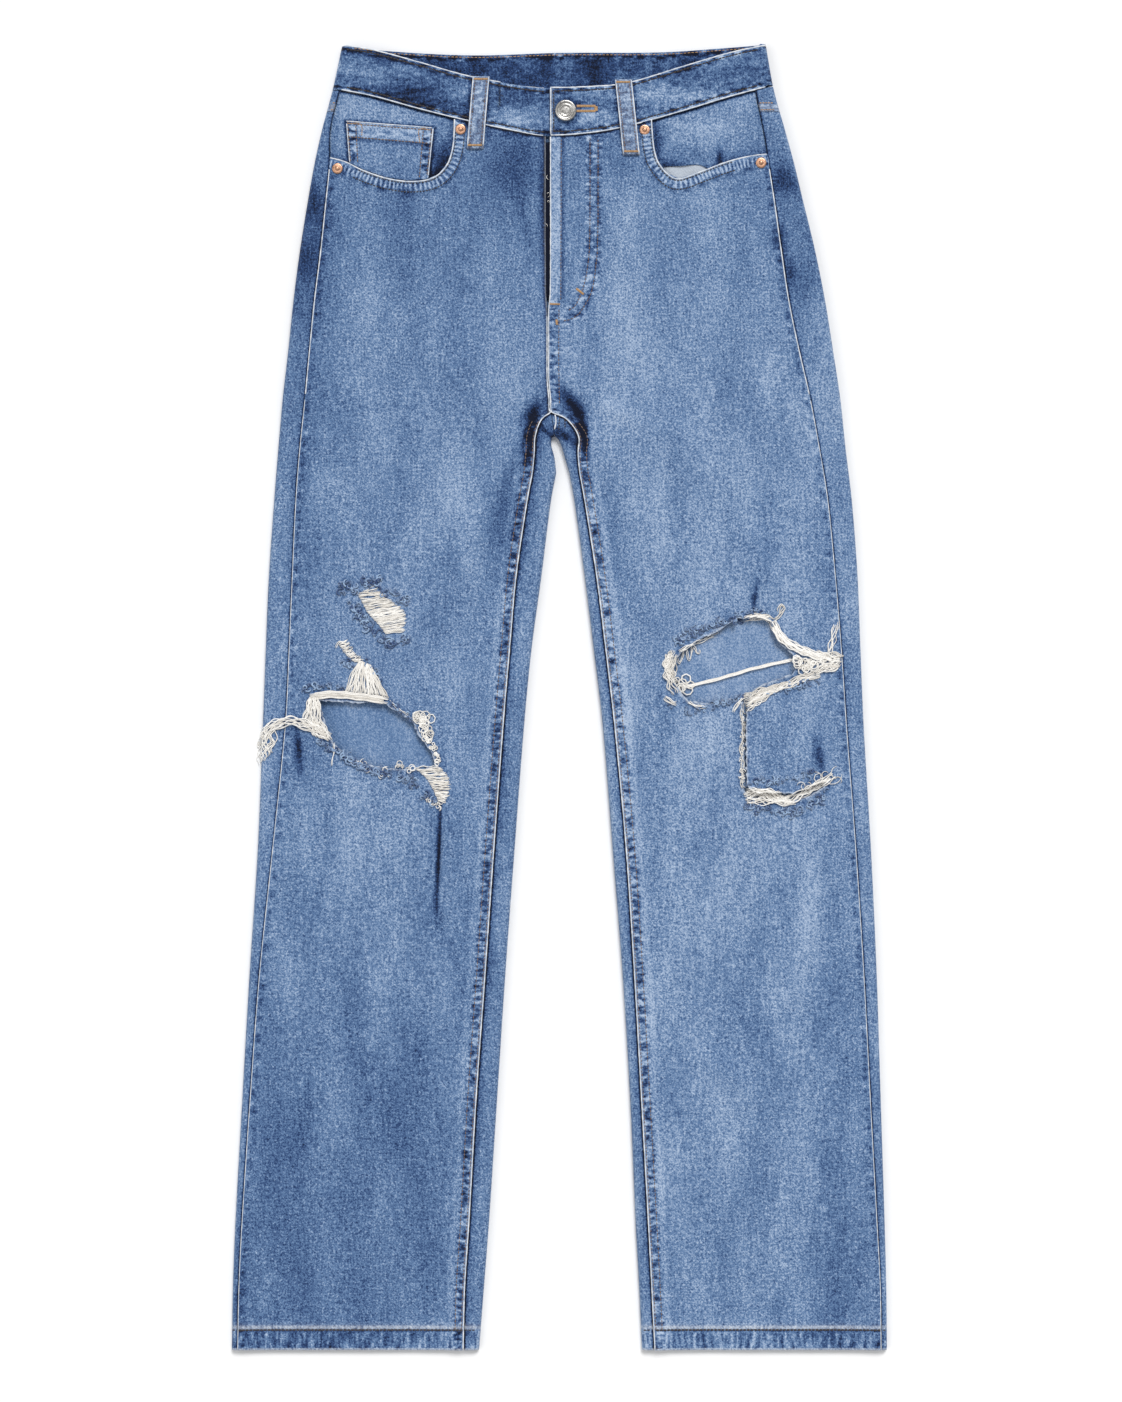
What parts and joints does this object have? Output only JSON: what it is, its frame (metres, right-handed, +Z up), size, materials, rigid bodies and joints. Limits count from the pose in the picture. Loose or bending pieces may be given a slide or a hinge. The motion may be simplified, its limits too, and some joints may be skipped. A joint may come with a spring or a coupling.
{
  "type": "ripped jeans",
  "caption": "High-waist straight jeans lying flat on their back, light blue denim with ripped, frayed knees.",
  "frame": {"origin": "on the floor plane, below the middle of the laid-out garment", "axes": "+Y from the hems toward the waist, +Z up out of the front, +X toward the wearer's left"},
  "size_m": [0.5242, 1.0442, 0.0147],
  "materials": {
    "denim": "matte",
    "denim_inside": "matte",
    "pocket_cotton": "matte",
    "frayed_yarn": "matte",
    "nickel": "satin",
    "copper": "satin"
  },
  "bodies": {
    "root": {"front_panel_right": "denim", "front_panel_left": "denim", "back_panel_right": "denim", "back_panel_left": "denim", "yoke_right": "denim", "yoke_left": "denim", "waistband": "denim", "fly_underlap": "denim_inside", "pocket_facing_right": "denim", "pocket_facing_left": "denim", "coin_pocket": "denim", "pocket_bag_left": "pocket_cotton", "back_pocket_right": "denim", "back_pocket_left": "denim", "belt_loop_front_right": "denim", "belt_loop_front_left": "denim", "belt_loop_back_right": "denim", "belt_loop_back_centre": "denim", "belt_loop_back_left": "denim", "button": "nickel", "rivet_right_waist": "copper", "rivet_right_side": "copper", "rivet_left_waist": "copper", "rivet_left_side": "copper", "knee_fringe_right": "frayed_yarn", "knee_fray_right": "frayed_yarn", "knee_fringe_left": "frayed_yarn", "knee_fray_left": "frayed_yarn", "knee_fringe_low_left": "frayed_yarn"}
  },
  "joints": []
}
